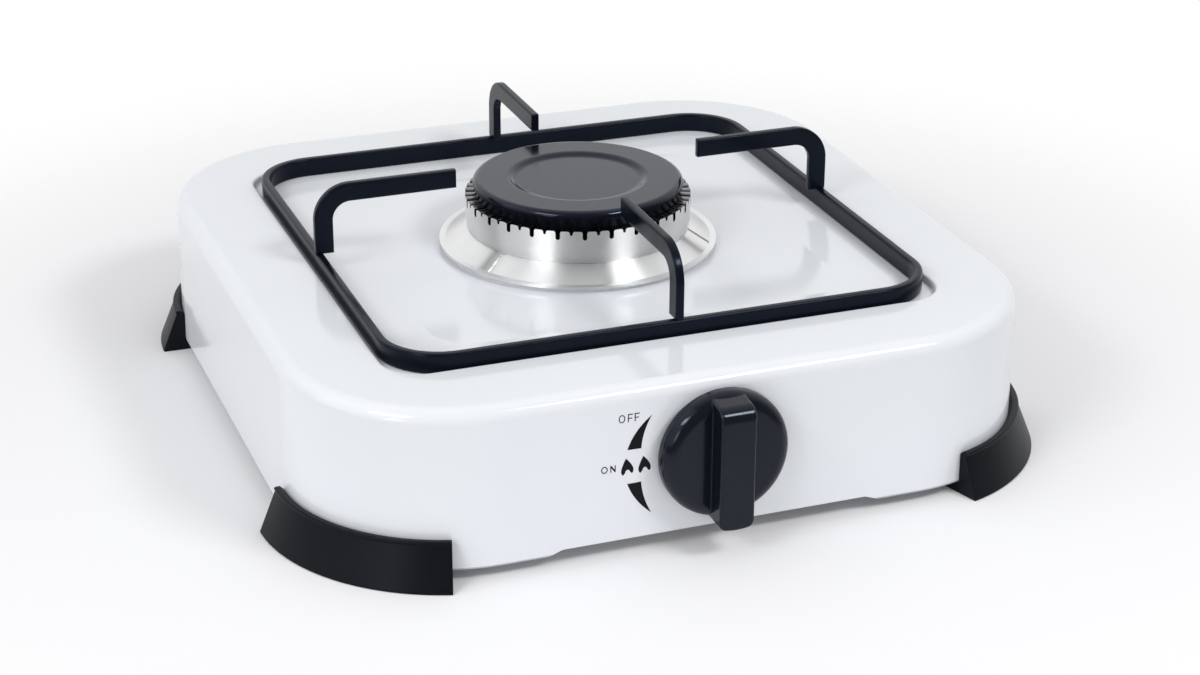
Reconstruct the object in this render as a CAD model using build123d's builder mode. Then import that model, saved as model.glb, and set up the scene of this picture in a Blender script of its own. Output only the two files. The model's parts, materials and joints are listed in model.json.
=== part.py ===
from build123d import *

import os
from math import copysign, cos, radians, sin, tan

# One-burner tabletop gas stove, in millimetres.
# X points right, Y to the rear and Z up. The burner's axis stands on the origin, at table height.

# Fits and allowances
cut_overrun = 1.0
running_clearance = 0.05
fit_clearance = 0.2
screw_clearance = 0.3

# Casing: a drafted skirt and a flat top pressed from one steel sheet
casing_width = 260.5
casing_depth = 264.0
casing_top = 59.0
casing_corner_radius = 57.0
top_edge_radius = 5.0
skirt_edge = 4.3
skirt_draft = 0.8
sheet = 1.2
relief_width = 116.0
relief_rise = 1.7
relief_ramp = 4.5
lug_reach = 17.0
lug_width = 15.0

# Spill well pressed into the top, with a ledge for the grate and a lower floor
well_width = 197.4
well_corner_radius = 14.0
well_drop = 2.4
well_rim_radius = 1.0
ledge_width = 9.0
floor_width = 150.0
floor_corner_radius = 16.0
floor_drop = 1.2
platform_rise = 1.6
burner_hole_radius = 44.0

# Feet: moulded corner pieces that the skirt stands in
foot_arc = 72.0
foot_turn = 7.6
foot_height = 15.8
foot_reach = 17.0
foot_flare = 8.7
foot_wall = 3.0
foot_lip = 0.4
foot_lip_height = 1.1
foot_gutter = 1.2
foot_screw_inset = 10.0
foot_screw_radius = 1.6
foot_screw_head_radius = 3.2
foot_screw_head_height = 2.2
foot_screw_tail = 3.0

# Pan grate: a ring of strip set on edge, and four bent prongs welded on it
ring_clearance = 1.2
ring_strip = 3.0
ring_height = 7.0
ring_corner_radius = 22.0
ring_edge_radius = 0.7
prong_strip = 2.9
prong_leg = 6.6
prong_bend_radius = 13.0
prong_rise = 25.0
prong_tip_radius = 45.9
prong_edge_radius = 0.5

# Burner flange: a spun drip ring
flange_radius = 50.0
flange_lip = 2.2
flange_overhang = 1.6
flange_sheet = 0.9
flange_rise = 4.6
flange_rim = 1.9
groove_count = 3
groove_phase = 90.0
groove_width = 2.0
groove_depth = 0.4

# Burner crown: a cast cup with ports between the teeth of its rim
crown_radius = 40.5
crown_shoulder_radius = 39.5
crown_spigot_radius = 38.0
crown_spigot_length = 2.5
crown_height = 12.1
crown_swell = 3.6
crown_wall = 4.5
crown_floor = 2.5
crown_bore_radius = 33.2
crown_ledge_thickness = 2.7
crown_bevel = 0.3
socket_wall = 2.4
tooth_pairs = 27
port_width = 1.6
port_depth = 3.2
nick_width = 1.0
nick_depth = 1.5
tooth_round = 0.8

# Burner cap: a pressed lid with a rolled lip and a dished middle
cap_radius = 37.8
cap_foot_radius = 36.4
cap_height = 7.3
cap_seat_drop = 1.4
cap_lip_radius = 2.3
cap_sheet = 1.8
cap_rim = 2.6
dish_radius = 25.7
dish_slope = 4.0
dish_drop = 1.2

# Mixing tube: an elbow with a bell mouth and a fixing collar
tube_radius = 11.0
tube_wall = 1.6
tube_bend_radius = 14.0
bell_radius = 14.5
bell_length = 10.0
bell_overlap = 3.0
collar_margin = 2.0
collar_thickness = 2.0
neck_length = 10.0

# Burner strap under the well, and its two screws
strap_sheet = 1.5
strap_width = 30.0
strap_span = 104.0
strap_tab = 14.0
burner_screw_spacing = 36.0
burner_screw_radius = 1.9
burner_screw_head_radius = 3.2
burner_screw_head_height = 2.0
burner_screw_tail = 2.5

# Gas valve, on an axis through the front panel
control_height = 33.4
panel_hole_radius = 6.0
bracket_setback = 17.6
bracket_sheet = 1.5
bracket_width = 40.0
bracket_height = 28.0
bracket_flange = 9.0
valve_radius = 11.0
valve_length = 22.0
nose_radius = 8.0
nose_length = 10.0
nose_bore_radius = 6.2
plug_front_radius = 5.6
plug_rear_radius = 4.6
plug_length = 18.0
plug_port_radius = 2.0
plug_slot_width = 2.2
plug_passage_depth = 11.0
inlet_radius = 6.5
inlet_length = 18.0
gas_bore_radius = 2.5
valve_nut_flats = 22.0
valve_nut_thickness = 4.0
gland_flats = 18.0
gland_thickness = 3.0
gland_spigot = 3.0
jet_seat_radius = 6.0
jet_seat_length = 4.0
jet_flats = 8.0
jet_hex_length = 5.0
jet_tip_radius = 2.4
jet_tip_length = 4.0
jet_bore_radius = 0.4

# Spindle, spring and knob
spindle_radius = 3.0
spindle_flat_drop = 1.0
spindle_collar_radius = 5.8
spindle_collar_thickness = 2.0
spindle_tongue_entry = 2.8
spindle_end_gap = 1.5
push_travel = 1.8
spring_wire = 0.7
spring_radius = 4.9
spring_turns = 3.0
knob_clearance = 0.3
knob_radius = 22.0
knob_face_radius = 17.4
knob_disc_depth = 6.4
knob_rim_depth = 1.8
knob_depth = 14.0
knob_wall = 2.8
knob_boss_radius = 5.4
grip_width = 12.0
grip_overhang = 0.4
grip_top_inset = 0.9
grip_top_drop = 1.3
grip_top_radius = 4.6
grip_end_radius = 2.6
grip_edge_radius = 0.9
clip_strip = 0.6
clip_width = 3.4
clip_length = 6.0

# Gas pipe and its rear inlet elbow
inlet_offset = 60.0
pipe_radius = 4.0
pipe_wall = 1.0
pipe_bend_radius = 26.0
pipe_nut_flats = 17.0
pipe_nut_length = 10.0
pipe_nut_grip = 4.0
connector_thread_length = 14.0
connector_hole_radius = 6.8
connector_flange_radius = 9.0
connector_flange_thickness = 2.0
washer_thickness = 1.0
connector_nut_flats = 19.0
connector_nut_thickness = 4.0
barb_land_radius = 4.6
barb_core_radius = 3.8
barb_land_length = 2.4
barb_pitch = 6.5
barb_count = 3
barb_neck = 1.0
barb_nose = 2.0

# Heights, places and planes worked out from the sizes above
ledge_height = casing_top - well_drop
floor_height = ledge_height - floor_drop
platform_height = floor_height + platform_rise
platform_radius = flange_radius - flange_overhang
ring_width = well_width - 2 * ring_clearance
ring_top = ledge_height + ring_height
pan_height = ring_top + prong_rise
flange_top = platform_height + flange_sheet + flange_rise
crown_top = flange_top + crown_height
cap_seat = crown_top - cap_seat_drop
cap_top = cap_seat + cap_height
crown_underside = flange_top - crown_spigot_length
tube_bend_top = control_height + tube_bend_radius
collar_base = tube_bend_top + fit_clearance + strap_sheet
collar_top = collar_base + collar_thickness
collar_radius = burner_screw_spacing / 2 + burner_screw_radius + running_clearance + collar_margin
neck_top = collar_top + neck_length
skirt_slope = tan(radians(skirt_draft))
panel_y = -casing_depth / 2 + (control_height - skirt_edge) * skirt_slope
rear_y = -panel_y
corner_x = casing_width / 2 - casing_corner_radius
corner_y = casing_depth / 2 - casing_corner_radius
corners = ("rear_right", "rear_left", "front_left", "front_right")
corner_angles = {corner: 360 * (place + 1 / 2) / len(corners) for place, corner in enumerate(corners)}
sides = ("right", "rear", "left", "front")
prong_angles = {side: 360 * place / len(sides) for place, side in enumerate(sides)}

# The control plane lies on the panel's face, and distances along it count outwards from there
control = Plane((0, panel_y, control_height), x_dir=(1, 0, 0), z_dir=(0, -1, 0))
valve_front = -bracket_setback - bracket_sheet
valve_rear = valve_front - valve_length
nose_front = valve_front + nose_length
collar_front = nose_front - gland_spigot - running_clearance
collar_rear = collar_front - spindle_collar_thickness
plug_rear = valve_front - plug_length
inlet_station = valve_front - plug_passage_depth
jet_base = valve_rear - jet_seat_length
jet_tip = jet_base - jet_hex_length - jet_tip_length
mouth_y = panel_y - jet_tip - bell_overlap
knob_gap = push_travel + knob_clearance + (knob_radius + grip_overhang) * skirt_slope
knob_front = knob_gap + knob_depth
plug_slot_depth = spindle_tongue_entry + push_travel + fit_clearance
spindle_end = knob_gap + knob_disc_depth + spindle_end_gap
spindle_flat = spindle_radius - spindle_flat_drop

# The inlet plane lies on the rear skirt's face, and counts outwards too
inlet = Plane((inlet_offset, rear_y, control_height), x_dir=(-1, 0, 0), z_dir=(0, 1, 0))
inlet_seat = connector_flange_radius * skirt_slope + running_clearance
elbow_reach = knob_front - barb_land_radius


def corner_centre(angle):
    """Centre of the plan arc of the casing's corner that lies in this direction."""
    return copysign(corner_x, cos(radians(angle))), copysign(corner_y, sin(radians(angle))), 0


def flat_plane(angle, centre=(0, 0, 0)):
    """Level plane whose local x axis runs outwards in this direction."""
    return Plane(centre, x_dir=(cos(radians(angle)), sin(radians(angle)), 0), z_dir=(0, 0, 1))


def upright_plane(angle, centre=(0, 0, 0)):
    """Standing plane whose local x axis runs outwards in this direction and whose y axis is up."""
    outward = (cos(radians(angle)), sin(radians(angle)), 0)
    return Plane(centre, x_dir=outward, z_dir=(sin(radians(angle)), -cos(radians(angle)), 0))


def hexagon(flats):
    """Hexagon sketch with this distance across its flats."""
    return RegularPolygon(radius=flats / 2, side_count=6, major_radius=False)


os.makedirs("parts", exist_ok=True)


def pressed_well(grow):
    """Space of the spill well, grown by the sheet where its underside is wanted."""
    with BuildPart() as well:
        with BuildSketch(Plane.XY.offset(ledge_height - grow)):
            RectangleRounded(well_width + 2 * grow, well_width + 2 * grow, well_corner_radius + grow)
        extrude(amount=well_drop + grow + cut_overrun)
        with BuildSketch(Plane.XY.offset(ledge_height - grow)):
            ledge_inside = well_width - 2 * ledge_width
            RectangleRounded(ledge_inside, ledge_inside, floor_corner_radius)
        with BuildSketch(Plane.XY.offset(floor_height - grow)):
            RectangleRounded(floor_width, floor_width, floor_corner_radius)
        loft()
    return well.part


well_space = pressed_well(0)
well_underside = pressed_well(sheet)

# The hollow under the top is the same drafted form, one sheet smaller
with BuildPart() as casing_hollow:
    with BuildSketch(Plane.XY.offset(skirt_edge)):
        RectangleRounded(casing_width - 2 * sheet, casing_depth - 2 * sheet, casing_corner_radius - sheet)
    extrude(amount=casing_top - sheet - skirt_edge, taper=skirt_draft)
    fillet(casing_hollow.faces().sort_by(Axis.Z)[-1].edges(), radius=top_edge_radius - sheet)
    add(well_underside, mode=Mode.SUBTRACT)

with BuildPart() as top_casing:
    with BuildSketch(Plane.XY.offset(skirt_edge)):
        RectangleRounded(casing_width, casing_depth, casing_corner_radius)
    extrude(amount=casing_top - skirt_edge, taper=skirt_draft)
    fillet(top_casing.faces().sort_by(Axis.Z)[-1].edges(), radius=top_edge_radius)
    add(well_space, mode=Mode.SUBTRACT)
    fillet(top_casing.faces().sort_by(Axis.Z)[-1].inner_wires().edges(), radius=well_rim_radius)
    add(casing_hollow.part, mode=Mode.SUBTRACT)
    # The burner's seat is pressed up from the floor, and holed
    with BuildSketch(Plane.XY.offset(floor_height - sheet)):
        Circle(platform_radius)
    extrude(amount=platform_rise + sheet)
    with BuildSketch(Plane.XY.offset(floor_height - sheet)):
        Circle(platform_radius - sheet)
    extrude(amount=platform_rise, mode=Mode.SUBTRACT)
    with BuildSketch(Plane.XY.offset(floor_height - sheet)):
        Circle(burner_hole_radius)
    extrude(amount=platform_rise + sheet, mode=Mode.SUBTRACT)
    # The front edge of the skirt is cut back a little between the feet
    with BuildSketch(Plane.XZ.offset(casing_depth / 2 - sheet - cut_overrun)):
        with BuildLine():
            Polyline(
                (-relief_width / 2, skirt_edge - cut_overrun),
                (-relief_width / 2, skirt_edge),
                (-relief_width / 2 + relief_ramp, skirt_edge + relief_rise),
                (relief_width / 2 - relief_ramp, skirt_edge + relief_rise),
                (relief_width / 2, skirt_edge),
                (relief_width / 2, skirt_edge - cut_overrun),
                close=True,
            )
        make_face()
    extrude(amount=sheet + 2 * cut_overrun, mode=Mode.SUBTRACT)
    # Holes for the spindle in front and the gas inlet behind
    with BuildSketch(control.offset(cut_overrun)):
        Circle(panel_hole_radius)
    extrude(amount=-sheet - 2 * cut_overrun, mode=Mode.SUBTRACT)
    with BuildSketch(inlet.offset(cut_overrun)):
        Circle(connector_hole_radius)
    extrude(amount=-sheet - 2 * cut_overrun, mode=Mode.SUBTRACT)
    # Lugs bent in from the corners take the foot screws
    for angle in corner_angles.values():
        with BuildSketch(flat_plane(angle, corner_centre(angle)).offset(skirt_edge)):
            with Locations((casing_corner_radius - sheet / 2, 0)):
                Rectangle(lug_reach, lug_width, align=(Align.MAX, Align.CENTER))
            with Locations((casing_corner_radius - foot_screw_inset, 0)):
                Circle(foot_screw_radius + running_clearance, mode=Mode.SUBTRACT)
        extrude(amount=sheet)
top_casing.part.label = "top_casing"
export_step(top_casing.part, "parts/top_casing.step")

# Each foot is a section turned about the corner's own centre, and reaches further round the side
foot_lip_base = foot_height - foot_lip_height
skirt_at_foot_top = casing_corner_radius - (foot_height - skirt_edge) * skirt_slope
for corner, angle in corner_angles.items():
    foot_middle = angle - copysign(foot_turn, sin(radians(2 * angle)))
    with BuildPart() as foot:
        with BuildSketch(upright_plane(foot_middle - foot_arc / 2, corner_centre(angle))):
            with BuildLine():
                Polyline(
                    (casing_corner_radius - foot_reach, 0),
                    (casing_corner_radius + foot_flare - foot_lip, 0),
                    (casing_corner_radius + foot_flare, foot_lip),
                    (skirt_at_foot_top + foot_wall, foot_lip_base),
                    (skirt_at_foot_top + foot_wall + foot_lip, foot_lip_base + foot_lip),
                    (skirt_at_foot_top + foot_wall + foot_lip, foot_height - foot_lip),
                    (skirt_at_foot_top + foot_wall, foot_height),
                    (skirt_at_foot_top + fit_clearance + foot_gutter, foot_height),
                    (skirt_at_foot_top + fit_clearance, foot_height - foot_gutter),
                    (casing_corner_radius + fit_clearance, skirt_edge),
                    (casing_corner_radius - foot_reach, skirt_edge),
                    close=True,
                )
            make_face()
        revolve(axis=Axis(corner_centre(angle), (0, 0, 1)), revolution_arc=foot_arc)
        with BuildSketch(flat_plane(angle, corner_centre(angle))):
            with Locations((casing_corner_radius - foot_screw_inset, 0)):
                Circle(foot_screw_radius + screw_clearance)
        extrude(amount=skirt_edge, mode=Mode.SUBTRACT)
        with BuildSketch(flat_plane(angle, corner_centre(angle))):
            with Locations((casing_corner_radius - foot_screw_inset, 0)):
                Circle(foot_screw_head_radius + screw_clearance)
        extrude(amount=foot_screw_head_height + screw_clearance, mode=Mode.SUBTRACT)
    foot.part.label = f"foot_{corner}"
    export_step(foot.part, f"parts/foot_{corner}.step")

with BuildPart() as foot_screws:
    for angle in corner_angles.values():
        with BuildSketch(flat_plane(angle, corner_centre(angle)).offset(screw_clearance)):
            with Locations((casing_corner_radius - foot_screw_inset, 0)):
                Circle(foot_screw_head_radius)
        extrude(amount=foot_screw_head_height)
        with BuildSketch(flat_plane(angle, corner_centre(angle)).offset(screw_clearance)):
            with Locations((casing_corner_radius - foot_screw_inset, 0)):
                Circle(foot_screw_radius)
        extrude(amount=skirt_edge + sheet + foot_screw_tail - screw_clearance)
foot_screws.part.label = "foot_screws"
export_step(foot_screws.part, "parts/foot_screws.step")

with BuildPart() as grate_ring:
    with BuildSketch(Plane.XY.offset(ledge_height)):
        RectangleRounded(ring_width, ring_width, ring_corner_radius)
        offset(amount=-ring_strip, mode=Mode.SUBTRACT)
    extrude(amount=ring_height)
    fillet(grate_ring.faces().filter_by(Axis.Z).edges(), radius=ring_edge_radius)
grate_ring.part.label = "grate_ring"
export_step(grate_ring.part, "parts/grate_ring.step")

# A prong rises flush with the ring's outer face and bends in towards the burner
prong_inner_bend = prong_bend_radius - prong_leg
prong_outside = ring_width / 2
for side, angle in prong_angles.items():
    with BuildPart() as prong:
        with BuildSketch(upright_plane(angle)):
            with BuildLine():
                Line((prong_outside, ring_top), (prong_outside, pan_height - prong_bend_radius))
                TangentArc(
                    (prong_outside, pan_height - prong_bend_radius),
                    (prong_outside - prong_bend_radius, pan_height),
                    tangent=(0, 1),
                )
                Polyline(
                    (prong_outside - prong_bend_radius, pan_height),
                    (prong_tip_radius, pan_height),
                    (prong_tip_radius, pan_height - prong_leg),
                    (prong_outside - prong_bend_radius, pan_height - prong_leg),
                )
                TangentArc(
                    (prong_outside - prong_bend_radius, pan_height - prong_leg),
                    (prong_outside - prong_leg, pan_height - prong_leg - prong_inner_bend),
                    tangent=(1, 0),
                )
                Polyline(
                    (prong_outside - prong_leg, pan_height - prong_leg - prong_inner_bend),
                    (prong_outside - prong_leg, ring_top),
                    (prong_outside, ring_top),
                )
            make_face()
        extrude(amount=prong_strip / 2, both=True)
        prong_flats = prong.faces().filter_by(upright_plane(angle))
        fillet(prong_flats.edges(), radius=prong_edge_radius)
    prong.part.label = f"grate_prong_{side}"
    export_step(prong.part, f"parts/grate_prong_{side}.step")

# The flange rests on the casing's raised seat and carries the crown on its inner rim
flange_hole_radius = crown_spigot_radius + fit_clearance
flange_rim_radius = flange_hole_radius + flange_rim
with BuildPart() as burner_flange:
    with BuildSketch(Plane.XZ):
        with BuildLine():
            Polyline(
                (flange_radius, platform_height),
                (flange_radius, platform_height + flange_sheet),
                (flange_radius - flange_lip, platform_height + flange_sheet),
                (flange_rim_radius, flange_top),
                (flange_hole_radius, flange_top),
                (flange_hole_radius, flange_top - flange_sheet),
                (flange_rim_radius - flange_sheet / 2, flange_top - flange_sheet),
                (flange_radius - flange_lip - flange_sheet / 2, platform_height),
                close=True,
            )
        make_face()
    revolve(axis=Axis.Z)
    for number in range(groove_count):
        with BuildSketch(upright_plane(groove_phase + number * 360 / groove_count)):
            with BuildLine():
                Polyline(
                    (flange_radius - flange_lip, platform_height + flange_sheet - groove_depth),
                    (flange_rim_radius, flange_top - groove_depth),
                    (flange_rim_radius, flange_top + cut_overrun),
                    (flange_radius - flange_lip, flange_top + cut_overrun),
                    close=True,
                )
            make_face()
        extrude(amount=groove_width / 2, both=True, mode=Mode.SUBTRACT)
burner_flange.part.label = "burner_flange"
export_step(burner_flange.part, "parts/burner_flange.step")


def rim_notch(width, depth):
    """Cutter for one notch in the crown's rim, round below and flared over the tooth tops."""
    half = width / 2
    with BuildPart() as notch:
        with BuildSketch(Plane.YZ.offset(crown_bore_radius - cut_overrun)):
            with BuildLine():
                Polyline(
                    (half, crown_top - tooth_round),
                    (half, crown_top - depth + half),
                )
                RadiusArc((half, crown_top - depth + half), (-half, crown_top - depth + half), half)
                Line((-half, crown_top - depth + half), (-half, crown_top - tooth_round))
                TangentArc(
                    (-half, crown_top - tooth_round),
                    (-half - tooth_round, crown_top),
                    tangent=(0, 1),
                )
                Polyline(
                    (-half - tooth_round, crown_top),
                    (-half - tooth_round, crown_top + cut_overrun),
                    (half + tooth_round, crown_top + cut_overrun),
                    (half + tooth_round, crown_top),
                )
                TangentArc(
                    (half, crown_top - tooth_round),
                    (half + tooth_round, crown_top),
                    tangent=(0, 1),
                )
            make_face()
        extrude(amount=crown_radius - crown_bore_radius + 2 * cut_overrun)
    return notch.part


port_cutter = rim_notch(port_width, port_depth)
nick_cutter = rim_notch(nick_width, nick_depth)

socket_radius = tube_radius + running_clearance
crown_inside = crown_radius - crown_wall
crown_ledge_radius = cap_foot_radius + fit_clearance
ledge_underside = cap_seat - crown_ledge_thickness
with BuildPart() as burner_crown:
    with BuildSketch(Plane.XZ):
        with BuildLine():
            Polyline(
                (crown_radius, flange_top + crown_swell),
                (crown_radius, crown_top),
                (crown_ledge_radius + crown_bevel, crown_top),
                (crown_ledge_radius, cap_seat),
                (crown_bore_radius, cap_seat),
                (crown_bore_radius, ledge_underside),
                (crown_inside, ledge_underside - crown_inside + crown_bore_radius),
                (crown_inside, crown_underside + crown_floor),
                (socket_radius, crown_underside + crown_floor),
                (socket_radius, collar_top + fit_clearance),
                (socket_radius + socket_wall, collar_top + fit_clearance),
                (socket_radius + socket_wall, crown_underside),
                (crown_spigot_radius, crown_underside),
                (crown_spigot_radius, flange_top),
                (crown_shoulder_radius, flange_top),
            )
            TangentArc(
                (crown_radius, flange_top + crown_swell),
                (crown_shoulder_radius, flange_top),
                tangent=(0, -1),
            )
        make_face()
    revolve(axis=Axis.Z)
    with PolarLocations(0, tooth_pairs):
        add(port_cutter, mode=Mode.SUBTRACT)
    with PolarLocations(0, tooth_pairs, start_angle=180 / tooth_pairs):
        add(nick_cutter, mode=Mode.SUBTRACT)
burner_crown.part.label = "burner_crown"
export_step(burner_crown.part, "parts/burner_crown.step")

with BuildPart() as burner_cap:
    with BuildSketch(Plane.XZ):
        with BuildLine():
            Polyline(
                (0, cap_top - dish_drop - cap_sheet),
                (0, cap_top - dish_drop),
                (dish_radius - dish_slope, cap_top - dish_drop),
            )
            TangentArc(
                (dish_radius - dish_slope, cap_top - dish_drop),
                (dish_radius - dish_slope / 2, cap_top - dish_drop / 2),
                tangent=(1, 0),
            )
            TangentArc(
                (dish_radius, cap_top),
                (dish_radius - dish_slope / 2, cap_top - dish_drop / 2),
                tangent=(-1, 0),
            )
            Line((dish_radius, cap_top), (cap_radius - cap_lip_radius, cap_top))
            TangentArc(
                (cap_radius - cap_lip_radius, cap_top),
                (cap_radius, cap_top - cap_lip_radius),
                tangent=(1, 0),
            )
            Polyline(
                (cap_radius, cap_top - cap_lip_radius),
                (cap_foot_radius, cap_seat),
                (cap_foot_radius - cap_rim, cap_seat),
                (cap_foot_radius - cap_rim, cap_top - dish_drop - cap_sheet),
                (0, cap_top - dish_drop - cap_sheet),
            )
        make_face()
    revolve(axis=Axis.Z)
burner_cap.part.label = "burner_cap"
export_step(burner_cap.part, "parts/burner_cap.step")

with BuildPart() as mixing_tube:
    with BuildLine(Plane.YZ) as tube_path:
        FilletPolyline(
            (mouth_y + bell_length, control_height),
            (0, control_height),
            (0, neck_top),
            radius=tube_bend_radius,
        )
    with BuildSketch(Plane((0, mouth_y + bell_length, control_height), z_dir=(0, 1, 0))):
        Circle(tube_radius)
        Circle(tube_radius - tube_wall, mode=Mode.SUBTRACT)
    sweep()
    with BuildSketch(Plane.YZ):
        with BuildLine():
            Polyline(
                (mouth_y, control_height + bell_radius),
                (mouth_y + bell_length, control_height + tube_radius),
                (mouth_y + bell_length, control_height + tube_radius - tube_wall),
                (mouth_y, control_height + bell_radius - tube_wall),
                close=True,
            )
        make_face()
    revolve(axis=Axis((0, 0, control_height), (0, 1, 0)))
    with BuildSketch(Plane.XY.offset(collar_base)):
        Circle(collar_radius)
        Circle(tube_radius - tube_wall, mode=Mode.SUBTRACT)
        with GridLocations(burner_screw_spacing, 0, 2, 1):
            Circle(burner_screw_radius + running_clearance, mode=Mode.SUBTRACT)
    extrude(amount=collar_thickness)
mixing_tube.part.label = "mixing_tube"
export_step(mixing_tube.part, "parts/mixing_tube.step")

# The strap hangs from the underside of the well's floor and passes below the burner's collar
strap_roof = floor_height - sheet
strap_end = strap_span / 2 + strap_tab
with BuildPart() as burner_strap:
    with BuildSketch(Plane.XZ):
        with BuildLine():
            Polyline(
                (-strap_end, strap_roof),
                (-strap_span / 2 + strap_sheet, strap_roof),
                (-strap_span / 2 + strap_sheet, collar_base),
                (strap_span / 2 - strap_sheet, collar_base),
                (strap_span / 2 - strap_sheet, strap_roof),
                (strap_end, strap_roof),
                (strap_end, strap_roof - strap_sheet),
                (strap_span / 2, strap_roof - strap_sheet),
                (strap_span / 2, collar_base - strap_sheet),
                (-strap_span / 2, collar_base - strap_sheet),
                (-strap_span / 2, strap_roof - strap_sheet),
                (-strap_end, strap_roof - strap_sheet),
                close=True,
            )
        make_face()
    extrude(amount=strap_width / 2, both=True)
    with BuildSketch(Plane.XY.offset(collar_base - strap_sheet)):
        Circle(tube_radius + fit_clearance)
        with GridLocations(burner_screw_spacing, 0, 2, 1):
            Circle(burner_screw_radius + running_clearance)
    extrude(amount=strap_sheet, mode=Mode.SUBTRACT)
burner_strap.part.label = "burner_strap"
export_step(burner_strap.part, "parts/burner_strap.step")

with BuildPart() as burner_screws:
    with BuildSketch(Plane.XY.offset(collar_top)):
        with GridLocations(burner_screw_spacing, 0, 2, 1):
            Circle(burner_screw_head_radius)
    extrude(amount=burner_screw_head_height)
    with BuildSketch(Plane.XY.offset(collar_top)):
        with GridLocations(burner_screw_spacing, 0, 2, 1):
            Circle(burner_screw_radius)
    extrude(amount=-collar_thickness - strap_sheet - burner_screw_tail)
burner_screws.part.label = "burner_screws"
export_step(burner_screws.part, "parts/burner_screws.step")

# The bracket is a channel whose two flanges are welded to the inside of the front panel
panel_inside = Plane(
    (0, panel_y + (sheet + running_clearance) / cos(radians(skirt_draft)), control_height),
    x_dir=(-1, 0, 0),
    z_dir=(0, cos(radians(skirt_draft)), -sin(radians(skirt_draft))),
)
bracket_depth = bracket_setback - sheet - running_clearance - bracket_sheet / 2
with BuildPart() as valve_bracket:
    with BuildSketch(control.offset(-bracket_setback)):
        Rectangle(bracket_width, bracket_height)
        Circle(nose_radius + fit_clearance, mode=Mode.SUBTRACT)
    extrude(amount=-bracket_sheet)
    with BuildSketch(control.offset(-bracket_setback)):
        with GridLocations(bracket_width - bracket_sheet, 0, 2, 1):
            Rectangle(bracket_sheet, bracket_height)
    extrude(amount=bracket_depth)
    with BuildSketch(panel_inside):
        with GridLocations(bracket_width + bracket_flange - bracket_sheet, 0, 2, 1):
            Rectangle(bracket_flange + bracket_sheet, bracket_height)
    extrude(amount=bracket_sheet)
valve_bracket.part.label = "valve_bracket"
export_step(valve_bracket.part, "parts/valve_bracket.step")

with BuildPart() as valve_body:
    with BuildSketch(control.offset(valve_front)):
        Circle(valve_radius)
    extrude(amount=-valve_length)
    with BuildSketch(control.offset(valve_front)):
        Circle(nose_radius)
    extrude(amount=nose_length)
    with BuildSketch(control.offset(valve_rear)):
        Circle(jet_seat_radius)
    extrude(amount=-jet_seat_length)
    with BuildSketch(Plane((0, panel_y - inlet_station, control_height), z_dir=(1, 0, 0))):
        Circle(inlet_radius)
    extrude(amount=inlet_length)
    # Bores for the spindle's collar, the tapered plug and the gas
    with BuildSketch(control.offset(nose_front)):
        Circle(nose_bore_radius)
    extrude(amount=-nose_length, mode=Mode.SUBTRACT)
    with BuildSketch(control.offset(valve_front)):
        Circle(plug_front_radius + running_clearance)
    with BuildSketch(control.offset(plug_rear - running_clearance)):
        Circle(plug_rear_radius + running_clearance)
    loft(mode=Mode.SUBTRACT)
    with BuildSketch(control.offset(plug_rear)):
        Circle(gas_bore_radius)
    extrude(amount=jet_base - plug_rear - cut_overrun, mode=Mode.SUBTRACT)
    with BuildSketch(Plane((0, panel_y - inlet_station, control_height), z_dir=(1, 0, 0))):
        Circle(gas_bore_radius)
    extrude(amount=inlet_length + cut_overrun, mode=Mode.SUBTRACT)
valve_body.part.label = "valve_body"
export_step(valve_body.part, "parts/valve_body.step")

with BuildPart() as valve_nut:
    with BuildSketch(control.offset(-bracket_setback)):
        hexagon(valve_nut_flats)
        Circle(nose_radius + running_clearance, mode=Mode.SUBTRACT)
    extrude(amount=valve_nut_thickness)
valve_nut.part.label = "valve_nut"
export_step(valve_nut.part, "parts/valve_nut.step")

with BuildPart() as valve_gland:
    with BuildSketch(control.offset(nose_front)):
        hexagon(gland_flats)
    extrude(amount=gland_thickness)
    with BuildSketch(control.offset(nose_front)):
        Circle(nose_bore_radius - running_clearance)
    extrude(amount=-gland_spigot)
    with BuildSketch(control.offset(nose_front - gland_spigot)):
        Circle(spindle_radius + running_clearance)
    extrude(amount=gland_spigot + gland_thickness, mode=Mode.SUBTRACT)
valve_gland.part.label = "valve_gland"
export_step(valve_gland.part, "parts/valve_gland.step")

# The tapered plug's gas way runs down from its middle, so that a quarter turn brings it to the inlet
with BuildPart() as valve_plug:
    with BuildSketch(control.offset(valve_front)):
        Circle(plug_front_radius)
    with BuildSketch(control.offset(plug_rear)):
        Circle(plug_rear_radius)
    loft()
    with BuildSketch(control.offset(valve_front)):
        Rectangle(2 * plug_front_radius, plug_slot_width)
    extrude(amount=-plug_slot_depth, mode=Mode.SUBTRACT)
    with BuildSketch(control.offset(plug_rear)):
        Circle(plug_port_radius)
    extrude(amount=plug_length - plug_passage_depth, mode=Mode.SUBTRACT)
    with BuildSketch(Plane((0, panel_y - inlet_station, control_height), z_dir=(0, 0, -1))):
        Circle(plug_port_radius)
    extrude(amount=plug_front_radius, mode=Mode.SUBTRACT)
valve_plug.part.label = "valve_plug"
export_step(valve_plug.part, "parts/valve_plug.step")

with BuildPart() as valve_spring:
    with BuildLine() as spring_path:
        spring_room = collar_rear - valve_front - spring_wire - 2 * running_clearance
        Helix(
            pitch=spring_room / spring_turns,
            height=spring_room,
            radius=spring_radius,
            center=control.offset(valve_front + spring_wire / 2 + running_clearance).origin,
            direction=control.z_dir,
        )
    with BuildSketch(Plane(spring_path.line @ 0, z_dir=spring_path.line % 0)):
        Circle(spring_wire / 2)
    sweep()
valve_spring.part.label = "valve_spring"
export_step(valve_spring.part, "parts/valve_spring.step")

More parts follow.
